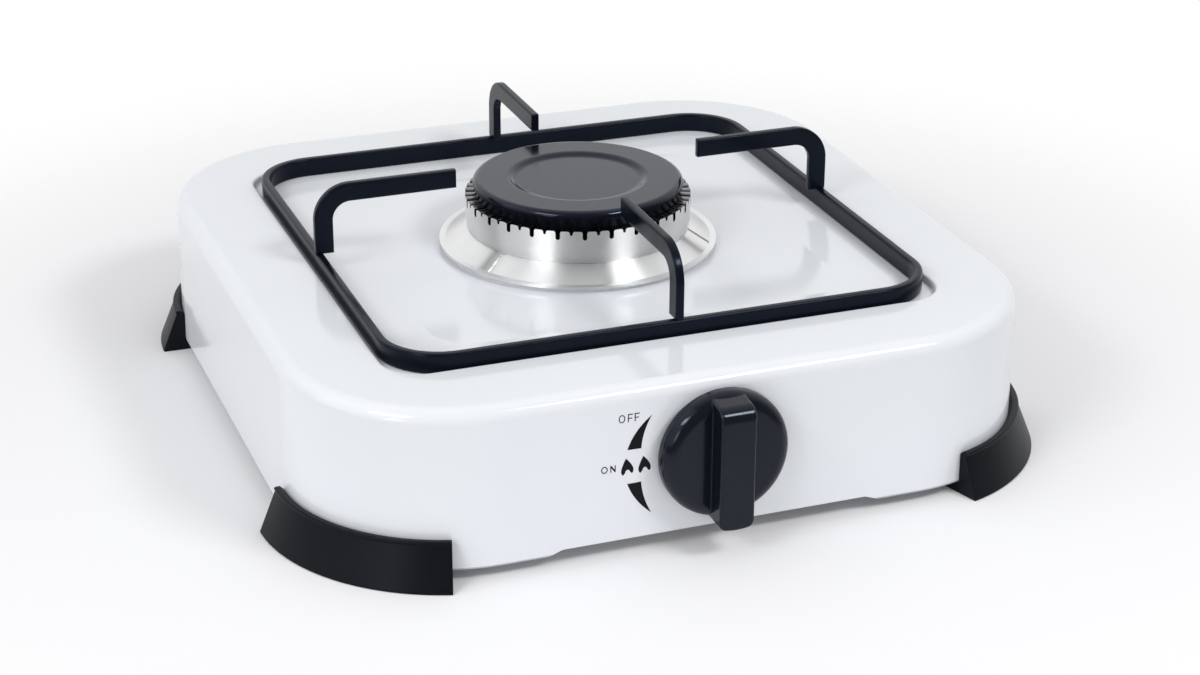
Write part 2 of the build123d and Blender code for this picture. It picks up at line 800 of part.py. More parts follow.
with BuildPart() as valve_spindle:
    with BuildSketch(control.offset(collar_rear)):
        Circle(spindle_collar_radius)
    extrude(amount=spindle_collar_thickness)
    with BuildSketch(control.offset(collar_rear)):
        Circle(spindle_radius)
    extrude(amount=spindle_end - collar_rear)
    # A tongue on the inner end turns the plug and slides in its slot
    with BuildSketch(control.offset(collar_rear)):
        Rectangle(2 * spindle_radius, plug_slot_width - 2 * running_clearance)
    extrude(amount=valve_front - spindle_tongue_entry - collar_rear)
    # The outer end is flattened for the knob
    with BuildSketch(control.offset(knob_gap)):
        with Locations((0, spindle_flat)):
            Rectangle(2 * spindle_radius, spindle_radius, align=(Align.CENTER, Align.MIN))
    extrude(amount=spindle_end - knob_gap + cut_overrun, mode=Mode.SUBTRACT)
valve_spindle.part.label = "valve_spindle"
export_step(valve_spindle.part, "parts/valve_spindle.step")

with BuildPart() as knob_clip:
    with BuildSketch(control.offset(spindle_end - clip_length)):
        with Locations((0, spindle_flat)):
            Rectangle(clip_width, clip_strip, align=(Align.CENTER, Align.MIN))
    extrude(amount=clip_length)
knob_clip.part.label = "knob_clip"
export_step(knob_clip.part, "parts/knob_clip.step")

# The knob is a hollow moulding: a domed disc with a grip bar across it, whose lower end points
disc_front = knob_gap + knob_disc_depth
grip_reach = knob_radius + grip_overhang
with BuildPart() as grip_bar:
    with BuildSketch(Plane.YZ):
        with BuildLine():
            Polyline(
                (panel_y - knob_gap, control_height - grip_reach),
                (panel_y - knob_gap, control_height + knob_radius - grip_top_inset),
                (panel_y - knob_front, control_height + knob_radius - grip_top_inset - grip_top_drop),
                (panel_y - knob_front, control_height - grip_reach),
                close=True,
            )
        make_face()
    extrude(amount=grip_width / 2, both=True)
    with BuildSketch(control):
        Circle(grip_reach)
    extrude(amount=knob_front + cut_overrun, mode=Mode.INTERSECT)
    grip_corners = grip_bar.edges().filter_by(Axis.Y).group_by(Axis.Z)[0]
    fillet(grip_corners, radius=grip_end_radius)
    grip_rim = grip_bar.faces().sort_by(Axis.Y)[0].edges()
    fillet(grip_rim.sort_by(Axis.Z)[-1], radius=grip_top_radius)
    grip_sides = grip_bar.faces().filter_by(Axis.X)
    grip_edges = [side.edges().filter_by(Axis.Z).sort_by(Axis.Y)[0] for side in grip_sides]
    fillet(grip_edges, radius=grip_edge_radius)

with BuildPart() as knob:
    with BuildSketch(Plane.YZ):
        with BuildLine():
            Polyline(
                (panel_y - disc_front, control_height),
                (panel_y - knob_gap, control_height),
                (panel_y - knob_gap, control_height + knob_radius),
                (panel_y - knob_gap - knob_rim_depth, control_height + knob_radius),
            )
            TangentArc(
                (panel_y - knob_gap - knob_rim_depth, control_height + knob_radius),
                (panel_y - disc_front, control_height + knob_face_radius),
                tangent=(-1, 0),
            )
            Line(
                (panel_y - disc_front, control_height + knob_face_radius),
                (panel_y - disc_front, control_height),
            )
        make_face()
    revolve(axis=Axis((0, 0, control_height), (0, 1, 0)))
    add(grip_bar.part)
    # The back is cored out around a boss that takes the spindle and its clip
    with BuildSketch(control.offset(knob_gap)):
        Circle(knob_face_radius - knob_wall)
        Circle(knob_boss_radius, mode=Mode.SUBTRACT)
    extrude(amount=knob_disc_depth - knob_wall, mode=Mode.SUBTRACT)
    with BuildSketch(control.offset(knob_gap)):
        Circle(spindle_radius + running_clearance)
        with Locations((0, spindle_flat + clip_strip + running_clearance)):
            Rectangle(
                2 * knob_boss_radius, 2 * spindle_radius, align=(Align.CENTER, Align.MIN), mode=Mode.SUBTRACT
            )
        with Locations((0, spindle_flat)):
            Rectangle(
                clip_width + 2 * running_clearance,
                clip_strip + running_clearance,
                align=(Align.CENTER, Align.MIN),
            )
    extrude(amount=spindle_end - knob_gap + running_clearance, mode=Mode.SUBTRACT)
knob.part.label = "knob"
export_step(knob.part, "parts/knob.step")

with BuildPart() as injector:
    with BuildSketch(control.offset(jet_base)):
        hexagon(jet_flats)
    extrude(amount=-jet_hex_length)
    with BuildSketch(control.offset(jet_base - jet_hex_length)):
        Circle(jet_tip_radius)
    extrude(amount=-jet_tip_length)
    with BuildSketch(control.offset(jet_base)):
        Circle(jet_bore_radius)
    extrude(amount=-jet_hex_length - jet_tip_length, mode=Mode.SUBTRACT)
injector.part.label = "injector"
export_step(injector.part, "parts/injector.step")

# The pipe leaves the valve sideways and runs to the rear inlet
pipe_start = Plane((inlet_length, panel_y - inlet_station, control_height), z_dir=(1, 0, 0))
pipe_end = inlet.offset(-connector_thread_length)
with BuildPart() as supply_pipe:
    with BuildLine(Plane.XY.offset(control_height)):
        FilletPolyline(
            (inlet_length, panel_y - inlet_station),
            (inlet_offset, panel_y - inlet_station),
            (inlet_offset, rear_y - connector_thread_length),
            radius=pipe_bend_radius,
        )
    with BuildSketch(pipe_start):
        Circle(pipe_radius)
        Circle(pipe_radius - pipe_wall, mode=Mode.SUBTRACT)
    sweep()
supply_pipe.part.label = "supply_pipe"
export_step(supply_pipe.part, "parts/supply_pipe.step")

# A union nut at each end of the pipe grips the thread and the pipe behind it
with BuildPart() as pipe_nuts:
    for end, direction in ((pipe_start, 1), (pipe_end, -1)):
        with BuildSketch(end.offset(-direction * pipe_nut_grip)):
            hexagon(pipe_nut_flats)
        extrude(amount=direction * pipe_nut_length)
    for end, direction in ((pipe_start, 1), (pipe_end, -1)):
        with BuildSketch(end.offset(-direction * pipe_nut_grip)):
            Circle(inlet_radius + running_clearance)
        extrude(amount=direction * pipe_nut_grip, mode=Mode.SUBTRACT)
        with BuildSketch(end):
            Circle(pipe_radius + running_clearance)
        extrude(amount=direction * (pipe_nut_length - pipe_nut_grip), mode=Mode.SUBTRACT)
pipe_nuts.part.label = "pipe_nuts"
export_step(pipe_nuts.part, "parts/pipe_nuts.step")

with BuildPart() as connector_washer:
    with BuildSketch(inlet.offset(inlet_seat)):
        Circle(connector_flange_radius)
        Circle(inlet_radius + running_clearance, mode=Mode.SUBTRACT)
    extrude(amount=washer_thickness)
connector_washer.part.label = "connector_washer"
export_step(connector_washer.part, "parts/connector_washer.step")

# The inlet elbow turns the hose along the rear skirt, and its barbs all have the same land
connector_seat = inlet_seat + washer_thickness
elbow_y = rear_y + elbow_reach
barb_start = inlet_offset + connector_flange_radius + barb_neck
barb_length = barb_count * barb_pitch
with BuildPart() as hose_connector:
    with BuildSketch(inlet.offset(-connector_thread_length)):
        Circle(inlet_radius)
    extrude(amount=connector_thread_length + connector_seat)
    with BuildSketch(inlet.offset(connector_seat)):
        Circle(connector_flange_radius)
    extrude(amount=connector_flange_thickness)
    with BuildSketch(inlet.offset(connector_seat)):
        Circle(barb_land_radius)
    extrude(amount=elbow_reach - connector_seat)
    with Locations((inlet_offset, elbow_y, control_height)):
        Sphere(barb_land_radius)
    with BuildSketch(Plane.XY.offset(control_height)):
        with BuildLine():
            Polyline(
                (inlet_offset, elbow_y),
                (inlet_offset, elbow_y + barb_core_radius),
                (barb_start + barb_length + barb_nose, elbow_y + barb_core_radius),
                (barb_start + barb_length + barb_nose, elbow_y),
                close=True,
            )
        make_face()
        for number in range(barb_count):
            tip = barb_start + (number + 1) * barb_pitch
            with BuildLine():
                Polyline(
                    (tip - barb_pitch + barb_nose, elbow_y),
                    (tip - barb_pitch + barb_nose, elbow_y + barb_land_radius),
                    (tip - barb_pitch + barb_nose + barb_land_length, elbow_y + barb_land_radius),
                    (tip, elbow_y + barb_core_radius),
                    (tip, elbow_y),
                    close=True,
                )
            make_face()
    revolve(axis=Axis((0, elbow_y, control_height), (1, 0, 0)))
    with BuildSketch(inlet.offset(-connector_thread_length)):
        Circle(gas_bore_radius)
    extrude(amount=connector_thread_length + elbow_reach, mode=Mode.SUBTRACT)
    with BuildSketch(Plane((inlet_offset, elbow_y, control_height), z_dir=(1, 0, 0))):
        Circle(gas_bore_radius)
    extrude(amount=barb_start + barb_length + barb_nose - inlet_offset, mode=Mode.SUBTRACT)
hose_connector.part.label = "hose_connector"
export_step(hose_connector.part, "parts/hose_connector.step")

with BuildPart() as connector_nut:
    with BuildSketch(inlet.offset(-sheet - inlet_seat)):
        hexagon(connector_nut_flats)
        Circle(inlet_radius + running_clearance, mode=Mode.SUBTRACT)
    extrude(amount=-connector_nut_thickness)
connector_nut.part.label = "connector_nut"
export_step(connector_nut.part, "parts/connector_nut.step")
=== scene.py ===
import json
import math

import bmesh
import bpy
from mathutils import Matrix, Vector


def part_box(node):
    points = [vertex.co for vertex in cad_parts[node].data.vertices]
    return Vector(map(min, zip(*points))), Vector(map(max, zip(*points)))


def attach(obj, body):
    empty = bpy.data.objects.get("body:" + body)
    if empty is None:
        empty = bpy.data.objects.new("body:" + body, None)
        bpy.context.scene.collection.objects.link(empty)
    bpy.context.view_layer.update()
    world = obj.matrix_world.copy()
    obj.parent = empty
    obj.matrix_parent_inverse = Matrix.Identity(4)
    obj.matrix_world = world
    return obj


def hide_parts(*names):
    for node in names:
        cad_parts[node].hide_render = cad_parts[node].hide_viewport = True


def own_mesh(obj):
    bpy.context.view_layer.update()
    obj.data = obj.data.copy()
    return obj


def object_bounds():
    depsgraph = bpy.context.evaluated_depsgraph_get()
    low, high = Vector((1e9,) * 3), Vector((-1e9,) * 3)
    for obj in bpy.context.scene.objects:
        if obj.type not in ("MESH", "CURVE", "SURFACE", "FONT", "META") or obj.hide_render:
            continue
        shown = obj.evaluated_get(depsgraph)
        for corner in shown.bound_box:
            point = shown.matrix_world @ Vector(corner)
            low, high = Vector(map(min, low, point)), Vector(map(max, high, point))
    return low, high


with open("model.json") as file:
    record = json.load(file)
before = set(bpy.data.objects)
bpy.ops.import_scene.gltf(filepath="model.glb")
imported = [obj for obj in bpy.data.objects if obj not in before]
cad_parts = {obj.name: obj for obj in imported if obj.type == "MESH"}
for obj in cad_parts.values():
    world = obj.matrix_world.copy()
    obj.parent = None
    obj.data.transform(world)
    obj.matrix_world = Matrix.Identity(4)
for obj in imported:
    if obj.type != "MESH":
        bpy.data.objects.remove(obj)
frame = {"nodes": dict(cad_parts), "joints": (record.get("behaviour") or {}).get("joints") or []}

cad_low, cad_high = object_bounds()
mm = 0.001


# Casing: one sheet of deep-drawn steel, dipped in frit and fired, so glass covers its top,
# skirt and spill well. Fired glass is hard, white and glossy, and a little wavy close up.
def linear(colour):
    """Turns an sRGB hex colour into the linear RGBA that the shaders take."""
    channels = [int(colour[i:i + 2], 16) / 255 for i in (1, 3, 5)]
    return [c / 12.92 if c <= 0.04045 else ((c + 0.055) / 1.055) ** 2.4 for c in channels] + [1.0]


def add_node(tree, kind, inputs, **settings):
    """Adds a node, sets its properties, and sets or links each of its inputs.

    Inputs go by name, or by number where their names repeat: a mix has its factor at 0, two values
    at 2 and 3 and two colours at 6 and 7, and a calculation has its terms at 0 and 1.
    """
    node = tree.nodes.new(kind)
    for name, value in settings.items():
        setattr(node, name, value)
    for name, value in inputs.items():
        if isinstance(value, bpy.types.NodeSocket):
            tree.links.new(value, node.inputs[name])
        else:
            node.inputs[name].default_value = value
    return node


def new_finish(name, **constants):
    """Starts a material and returns it, its node tree, its shader and the piece's own coordinates."""
    material = bpy.data.materials.new(name)
    material.use_nodes = True
    tree = material.node_tree
    shader = tree.nodes["Principled BSDF"]
    for socket, value in constants.items():
        shader.inputs[socket.replace("_", " ")].default_value = value
    place = add_node(tree, "ShaderNodeTexCoord", {}).outputs["Object"]
    return material, tree, shader, place


def vary(tree, shader, pattern, tones, roughness=None):
    """Drifts a finish between two tones, and two roughnesses where given, and returns its tone."""
    tone = add_node(
        tree,
        "ShaderNodeMix",
        {0: pattern, 6: linear(tones[0]), 7: linear(tones[1])},
        data_type="RGBA",
    )
    tree.links.new(tone.outputs[2], shader.inputs["Base Color"])
    if roughness:
        gloss = add_node(
            tree,
            "ShaderNodeMapRange",
            {"Value": pattern, "To Min": roughness[0], "To Max": roughness[1]},
        )
        tree.links.new(gloss.outputs["Result"], shader.inputs["Roughness"])
    return tone.outputs[2]


def dress(material, *nodes):
    """Gives this finish to CAD nodes."""
    for name in nodes:
        slots = frame["nodes"][name].data.materials
        slots.clear()
        slots.append(material)


# Vitreous enamel, fired white: a cool white ground that drifts a little in tone from the dip,
# with a soft orange peel in its gloss and a thin grey line where it draws back at the cut edge
enamel_tones = ("#dcdfe5", "#d9dcdf")
enamel_thin = "#9aa0a8"
enamel_drift = 70 * mm
enamel_peel = 4.0 * mm
peel_depth = 0.05 * mm
draw_back = 0.7 * mm
bare_share = 0.3
skirt_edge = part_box("top_casing")[0].z
white_enamel, tree, shader, place = new_finish("vitreous_enamel_white", Roughness=0.12, IOR=1.5)
drift = add_node(tree, "ShaderNodeTexNoise", {"Vector": place, "Scale": 1 / enamel_drift, "Detail": 2.0})
ground = vary(tree, shader, drift.outputs["Fac"], enamel_tones)
height = add_node(tree, "ShaderNodeSeparateXYZ", {"Vector": place}).outputs["Z"]
bare = add_node(
    tree,
    "ShaderNodeMapRange",
    {
        "Value": height,
        "From Min": skirt_edge + bare_share * draw_back,
        "From Max": skirt_edge + draw_back,
        "To Min": 1.0,
        "To Max": 0.0,
    },
)
edged_ground = add_node(
    tree,
    "ShaderNodeMix",
    {0: bare.outputs["Result"], 6: ground, 7: linear(enamel_thin)},
    data_type="RGBA",
)
tree.links.new(edged_ground.outputs[2], shader.inputs["Base Color"])
peel = add_node(tree, "ShaderNodeTexNoise", {"Vector": place, "Scale": 1 / enamel_peel, "Detail": 1.0})
peel_bump = add_node(
    tree,
    "ShaderNodeBump",
    {"Height": peel.outputs["Fac"], "Strength": 0.08, "Distance": peel_depth},
)
tree.links.new(peel_bump.outputs["Normal"], shader.inputs["Normal"])
dress(white_enamel, "top_casing")

# Control marks: OFF, ON, two flames and two tapering crescents, screen printed beside the knob
# in black ceramic ink and fired into the enamel. The ink stands proud by its own thickness.
casing = frame["nodes"]["top_casing"]
control_axis = Vector(next(j for j in frame["joints"] if j["name"] == "knob_turn")["pos_m"])
marks_drop = 1.9 * mm
ink_thickness = 0.05 * mm
well_in_front = 2 * cad_low.y


def on_panel(across, up, proud):
    """Point of the front panel, across and up from the middle of the marks, moved out by proud."""
    start = Vector((control_axis.x + across, well_in_front, control_axis.z - marks_drop + up))
    _, point, normal, _ = casing.ray_cast(start, Vector((0, 1, 0)))
    return point + normal * proud


def printed(name, outlines):
    """Closed thin solids on the panel, one for each outline of (across, up) points in millimetres."""
    mesh = bmesh.new()
    for outline in outlines:
        front = [mesh.verts.new(on_panel(x * mm, z * mm, ink_thickness)) for x, z in outline]
        rear = [mesh.verts.new(on_panel(x * mm, z * mm, -ink_thickness)) for x, z in outline]
        mesh.faces.new(front)
        mesh.faces.new(rear[::-1])
        for i in range(len(outline)):
            j = (i + 1) % len(outline)
            mesh.faces.new((front[j], front[i], rear[i], rear[j]))
    mesh.normal_update()
    bmesh.ops.triangulate(mesh, faces=[f for f in mesh.faces if len(f.verts) > 4])
    bmesh.ops.recalc_face_normals(mesh, faces=mesh.faces)
    data = bpy.data.meshes.new(name)
    mesh.to_mesh(data)
    piece = bpy.data.objects.new(name, data)
    bpy.context.scene.collection.objects.link(piece)
    return piece


def bowed(start, bow, end, steps=14):
    """Points of a curve from start to end that leans towards bow, without its last point."""
    curve = []
    for i in range(steps):
        t = i / steps
        curve.append([
            (1 - t) ** 2 * a + 2 * t * (1 - t) * b + t * t * c for a, b, c in zip(start, bow, end)
        ])
    return curve


def crescent(sense, reach):
    """Crescent above (1) or below (-1) the flames, from a broad foot to a point at its reach."""
    outer_foot = (-31.5, 6.0 * sense)
    outer_bow = (-29.4, 12.4 * sense)
    tip = (-23.2, reach * sense)
    inner_bow = (-26.4, 11.8 * sense)
    inner_foot = (-26.8, 5.9 * sense)
    return bowed(outer_foot, outer_bow, tip) + bowed(tip, inner_bow, inner_foot) + [inner_foot]


def flame(across):
    """Flame with its tip up and a round notch in its foot."""
    tip = (across, 3.1)
    hip = (across - 1.6, -1.7)
    left_foot = (across - 1.0, -2.8)
    notch_left = (across - 0.1, -1.4)
    notch_right = (across + 1.3, -1.4)
    right_foot = (across + 2.2, -2.3)
    return (
        bowed(tip, (across - 1.9, -0.6), hip, steps=8)
        + bowed(hip, (across - 1.5, -2.5), left_foot, steps=3)
        + bowed(left_foot, (across - 0.4, -2.3), notch_left, steps=5)
        + bowed(notch_left, (across + 0.7, -0.4), notch_right, steps=6)
        + bowed(notch_right, (across + 1.6, -2.2), right_foot, steps=4)
        + bowed(right_foot, (across + 3.5, -0.4), tip, steps=10)
    )


letter_stroke = 0.32


def letter_o(across, up, height, width=2.2, steps=18):
    """The two halves of an O whose middle is at this place."""
    halves = []
    for start in (0, 1):
        turns = [math.pi * (start + i / steps) for i in range(steps + 1)]
        ring = []
        for trim, order in ((0, turns), (letter_stroke, turns[::-1])):
            for turn in order:
                x = across + (width / 2 - trim) * math.sin(turn)
                ring.append((x, up + (height / 2 - trim) * math.cos(turn)))
        halves.append(ring)
    return halves


def letter_f(across, up, height, width=1.7, arm_share=0.85, bar_share=0.52):
    """An F with its foot at the left of this place."""
    arm = arm_share * width
    bar = bar_share * height
    bar_foot = bar - letter_stroke
    top_foot = height - letter_stroke
    points = (
        (0, 0), (letter_stroke, 0), (letter_stroke, bar_foot), (arm, bar_foot), (arm, bar),
        (letter_stroke, bar), (letter_stroke, top_foot), (width, top_foot), (width, height), (0, height),
    )
    return [[(across + x, up - height / 2 + z) for x, z in points]]


def letter_n(across, up, height, width=1.8, slant_share=2.7):
    """An N with its foot at the left of this place."""
    slant = slant_share * letter_stroke
    right_stem = width - letter_stroke
    points = (
        (0, 0), (letter_stroke, 0), (letter_stroke, height - slant), (right_stem, 0), (width, 0),
        (width, height), (right_stem, height), (right_stem, slant), (letter_stroke, height), (0, height),
    )
    return [[(across + x, up - height / 2 + z) for x, z in points]]


# Ceramic screen ink, fired on: black with a satin skin, a shade uneven where the screen laid it down.
# The mesh of the screen is finer than this grain, which is drawn so coarse that it shows.
ink_tones = ("#0b0c10", "#14161b")
ink_grain = 0.4 * mm
ink, tree, shader, place = new_finish(
    "ceramic_ink_black", Roughness=0.32, IOR=1.5, Specular_IOR_Level=0.12
)
mottle = add_node(tree, "ShaderNodeTexNoise", {"Vector": place, "Scale": 1 / ink_grain, "Detail": 2.0})
vary(tree, shader, mottle.outputs["Fac"], ink_tones)

# Places of the marks, in millimetres across from the knob's axis and up from the middle of the marks
off_up = 17.1
off_height = 2.8
on_up = 0.2
on_height = 2.4
marks = {
    "mark_off": (
        letter_o(-33.4, off_up, off_height)
        + letter_f(-31.4, off_up, off_height)
        + letter_f(-29.1, off_up, off_height)
    ),
    "mark_on": letter_o(-39.3, on_up, on_height) + letter_n(-37.3, on_up, on_height),
    "mark_crescents": [crescent(1, 17.0), crescent(-1, 17.6)],
    "mark_flames": [flame(-32.0), flame(-26.1)],
}
for name, outlines in marks.items():
    piece = printed(name, outlines)
    piece.data.materials.append(ink)
    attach(piece, "casing")

# Feet: four corner mouldings in polypropylene, each screwed up into a lug of the casing.
# They are satin black, with softened edges and the fine grain of a spark-eroded mould, which is drawn
# coarser than it is, so that it shows.
foot_tones = ("#060709", "#0b0c0f")
foot_tint = "#e0eaff"
foot_roughness = (0.34, 0.46)
foot_flow = 25 * mm
foot_grain = 0.7 * mm
foot_grain_depth = 0.06 * mm
foot_edge_radius = 0.9 * mm
edge_samples = 6
foot_black, tree, shader, place = new_finish(
    "moulded_polypropylene_black", IOR=1.49, Specular_IOR_Level=0.18, Specular_Tint=linear(foot_tint)
)
flow = add_node(tree, "ShaderNodeTexNoise", {"Vector": place, "Scale": 1 / foot_flow, "Detail": 2.0})
vary(tree, shader, flow.outputs["Fac"], foot_tones, foot_roughness)
grain = add_node(tree, "ShaderNodeTexNoise", {"Vector": place, "Scale": 1 / foot_grain, "Detail": 3.0})
foot_edge = add_node(tree, "ShaderNodeBevel", {"Radius": foot_edge_radius}, samples=edge_samples)
foot_bump = add_node(
    tree,
    "ShaderNodeBump",
    {
        "Height": grain.outputs["Fac"],
        "Strength": 0.25,
        "Distance": foot_grain_depth,
        "Normal": foot_edge.outputs["Normal"],
    },
)
tree.links.new(foot_bump.outputs["Normal"], shader.inputs["Normal"])
dress(foot_black, "foot_front_left", "foot_front_right", "foot_rear_left", "foot_rear_right")

# Steel parts under the casing: screws, nuts, strap, bracket, mixing tube, spindle and clip, which
# hold and feed the burner and work the valve. They are pressed or turned, then zinc plated, so they
# are bright and slightly blue, with a faint spangle.
zinc_tones = ("#b9bdc2", "#9fa4aa")
zinc_roughness = (0.28, 0.42)
zinc_spangle = 3 * mm
zinc, tree, shader, place = new_finish("zinc_plated_steel", Metallic=1.0)
spangle = add_node(tree, "ShaderNodeTexVoronoi", {"Vector": place, "Scale": 1 / zinc_spangle})
vary(tree, shader, spangle.outputs["Distance"], zinc_tones, zinc_roughness)
dress(
    zinc, "foot_screws", "burner_screws", "burner_strap", "valve_bracket", "mixing_tube",
    "valve_nut", "valve_spindle", "knob_clip", "connector_nut",
)

# Return spring: three open turns of plated wire round the spindle, behind its collar.
# It is shut between plug and collar as the knob is pushed in, and pushes the knob out again.
spring_low, spring_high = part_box("valve_spring")
spring_wire = 0.7 * mm
spring_turns = 3
spring_steps = 32
wire_sides = 10
coil_radius = (spring_high.x - spring_low.x - spring_wire) / 2
coil_axis = (spring_low + spring_high) / 2
coil_run = spring_high.y - spring_low.y - spring_wire
spring_mesh = bmesh.new()
wire_rings = []
for i in range(spring_turns * spring_steps + 1):
    turn = 2 * math.pi * i / spring_steps
    spoke = Vector((math.cos(turn), 0, math.sin(turn)))
    along = coil_run * (i / (spring_turns * spring_steps) - 0.5)
    middle = coil_axis + coil_radius * spoke + Vector((0, along, 0))
    ring = []
    for k in range(wire_sides):
        side = 2 * math.pi * k / wire_sides
        rim = spoke * math.cos(side) + Vector((0, 1, 0)) * math.sin(side)
        ring.append(spring_mesh.verts.new(middle + spring_wire / 2 * rim))
    wire_rings.append(ring)
for before, after in zip(wire_rings, wire_rings[1:]):
    for k in range(wire_sides):
        n = (k + 1) % wire_sides
        spring_mesh.faces.new((before[k], before[n], after[n], after[k])).smooth = True
for end in (wire_rings[0], wire_rings[-1]):
    spring_mesh.faces.new(end)
bmesh.ops.recalc_face_normals(spring_mesh, faces=spring_mesh.faces)
spring_data = bpy.data.meshes.new("return_spring")
spring_mesh.to_mesh(spring_data)
spring_data.materials.append(zinc)
return_spring = bpy.data.objects.new("return_spring", spring_data)
bpy.context.scene.collection.objects.link(return_spring)
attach(return_spring, "plug")
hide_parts("valve_spring")
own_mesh(return_spring)

# Gas cock and fittings: the valve's body, gland and plug, the injector, the union nuts and the hose
# elbow. They are turned from brass bar and left bright, so they are yellow, with patches of tarnish.
brass_tones = ("#d8bd82", "#b99a5e")
brass_roughness = (0.2, 0.36)
brass_tarnish = 6 * mm
brass, tree, shader, place = new_finish("turned_brass", Metallic=1.0)
tarnish = add_node(tree, "ShaderNodeTexNoise", {"Vector": place, "Scale": 1 / brass_tarnish, "Detail": 3.0})
vary(tree, shader, tarnish.outputs["Fac"], brass_tones, brass_roughness)
dress(brass, "valve_body", "valve_gland", "valve_plug", "injector", "hose_connector", "pipe_nuts")

# Gas pipe: soft aluminium tube, bent by hand from the valve to the inlet, with a union nut at each
# end. Drawing and handling leave it dull, with a fine mottle.
pipe_tones = ("#c4c6c8", "#adb0b3")
pipe_roughness = (0.3, 0.5)
pipe_mottle = 1.5 * mm
pipe_metal, tree, shader, place = new_finish("drawn_aluminium", Metallic=1.0)
scuffs = add_node(tree, "ShaderNodeTexNoise", {"Vector": place, "Scale": 1 / pipe_mottle, "Detail": 2.0})
vary(tree, shader, scuffs.outputs["Fac"], pipe_tones, pipe_roughness)
dress(pipe_metal, "supply_pipe")

# Washer: a ring of red vulcanised fibre, punched from sheet and clamped between the rear skirt and
# the inlet elbow. It is matt and speckled.
fibre_tones = ("#7d2f22", "#9c4634")
fibre_speckle = 0.8 * mm
fibre, tree, shader, place = new_finish("vulcanised_fibre_red", Roughness=0.75, IOR=1.5)
speckle = add_node(tree, "ShaderNodeTexNoise", {"Vector": place, "Scale": 1 / fibre_speckle, "Detail": 3.0})
vary(tree, shader, speckle.outputs["Fac"], fibre_tones)
dress(fibre, "connector_washer")

# Burner flange and crown: a spun drip ring and a cast cup turned on the lathe, both polished.
# The lathe leaves rings too fine to see, which draw each highlight out into an upright streak.
turned_tones = ("#f1f1f1", "#e6e7e8")
turned_cloud = 12 * mm


def turned(name, roughness):
    """Aluminium off the lathe, as new_finish returns a finish, and the tone of its metal."""
    material, tree, shader, place = new_finish(
        name, Metallic=1.0, Anisotropic=0.95, Anisotropic_Rotation=0.25
    )
    around = add_node(tree, "ShaderNodeTangent", {}, direction_type="RADIAL", axis="Z")
    tree.links.new(around.outputs["Tangent"], shader.inputs["Tangent"])
    cloud = add_node(tree, "ShaderNodeTexNoise", {"Vector": place, "Scale": 1 / turned_cloud, "Detail": 2.0})
    tone = vary(tree, shader, cloud.outputs["Fac"], turned_tones, roughness)
    return material, tree, shader, place, tone


# Spun aluminium: bright, with fans of light across the cone
spun = turned("spun_aluminium", (0.28, 0.36))[0]
dress(spun, "burner_flange")

# Cast aluminium, turned: the same metal on the outer wall, and black on every face that does not face
# outwards, in the ports and inside the cup, for burnt metal and for painted shade. On the tooth tops
# it is burnt grey and worn smooth, so that they mirror the cap in front and the room beside it.
# A face begins to count as wall or tooth top at the cosine facing_part, and wholly from facing_full on.
port_black_and_painted_shade = "#1d1c1c"
tooth_grey = "#7c7c7f"
tooth_roughness = 0.14
facing_part = 0.4
facing_full = 0.7
cast, tree, shader, place, wall_tone = turned("turned_cast_aluminium", (0.36, 0.46))
wall_gloss = shader.inputs["Roughness"].links[0].from_socket
facing = add_node(tree, "ShaderNodeNewGeometry", {}).outputs["Normal"]
level_place = add_node(tree, "ShaderNodeVectorMath", {0: place, 1: (1, 1, 0)}, operation="MULTIPLY")
outward = add_node(tree, "ShaderNodeVectorMath", {0: level_place.outputs[0]}, operation="NORMALIZE")
wall = add_node(tree, "ShaderNodeVectorMath", {0: outward.outputs[0], 1: facing}, operation="DOT_PRODUCT")
unshaded_outer_wall = add_node(
    tree,
    "ShaderNodeMapRange",
    {"Value": wall.outputs["Value"], "From Min": facing_part, "From Max": facing_full},
)
# Painted shade: faces that do not face outwards, such as the ports' sides and the inner walls, are painted
# black.
port_tone_with_painted_shade = add_node(
    tree,
    "ShaderNodeMix",
    {0: unshaded_outer_wall.outputs["Result"], 6: linear(port_black_and_painted_shade), 7: wall_tone},
    data_type="RGBA",
)
upward = add_node(tree, "ShaderNodeSeparateXYZ", {"Vector": facing}).outputs["Z"]
tooth_top = add_node(
    tree,
    "ShaderNodeMapRange",
    {"Value": upward, "From Min": facing_part, "From Max": facing_full},
)
crown_tone = add_node(
    tree,
    "ShaderNodeMix",
    {0: tooth_top.outputs["Result"], 6: port_tone_with_painted_shade.outputs[2], 7: linear(tooth_grey)},
    data_type="RGBA",
)
crown_gloss = add_node(
    tree,
    "ShaderNodeMix",
    {0: tooth_top.outputs["Result"], 2: wall_gloss, 3: tooth_roughness},
)
tree.links.new(crown_tone.outputs[2], shader.inputs["Base Color"])
tree.links.new(crown_gloss.outputs[0], shader.inputs["Roughness"])
dress(cast, "burner_crown")

# Burner cap: a lid pressed from sheet steel and coated in black vitreous enamel, which lies loose on
# the crown. It is glossy enough to mirror the room on its level faces. On its lip and sides the
# reflection is turned down by the way they face, as painted shade.
cap_tones = ("#090b11", "#0f1118")
cap_tint = "#cfdcff"
cap_roughness = (0.1, 0.18)
cap_cloud = 9 * mm
painted_lip_shade = 0.08
level_sheen = 0.45
cap_black, tree, shader, place = new_finish(
    "vitreous_enamel_black", IOR=1.5, Specular_Tint=linear(cap_tint)
)
cloud = add_node(tree, "ShaderNodeTexNoise", {"Vector": place, "Scale": 1 / cap_cloud, "Detail": 2.0})
vary(tree, shader, cloud.outputs["Fac"], cap_tones, cap_roughness)
facing = add_node(tree, "ShaderNodeNewGeometry", {}).outputs["Normal"]
upward = add_node(tree, "ShaderNodeSeparateXYZ", {"Vector": facing}).outputs["Z"]
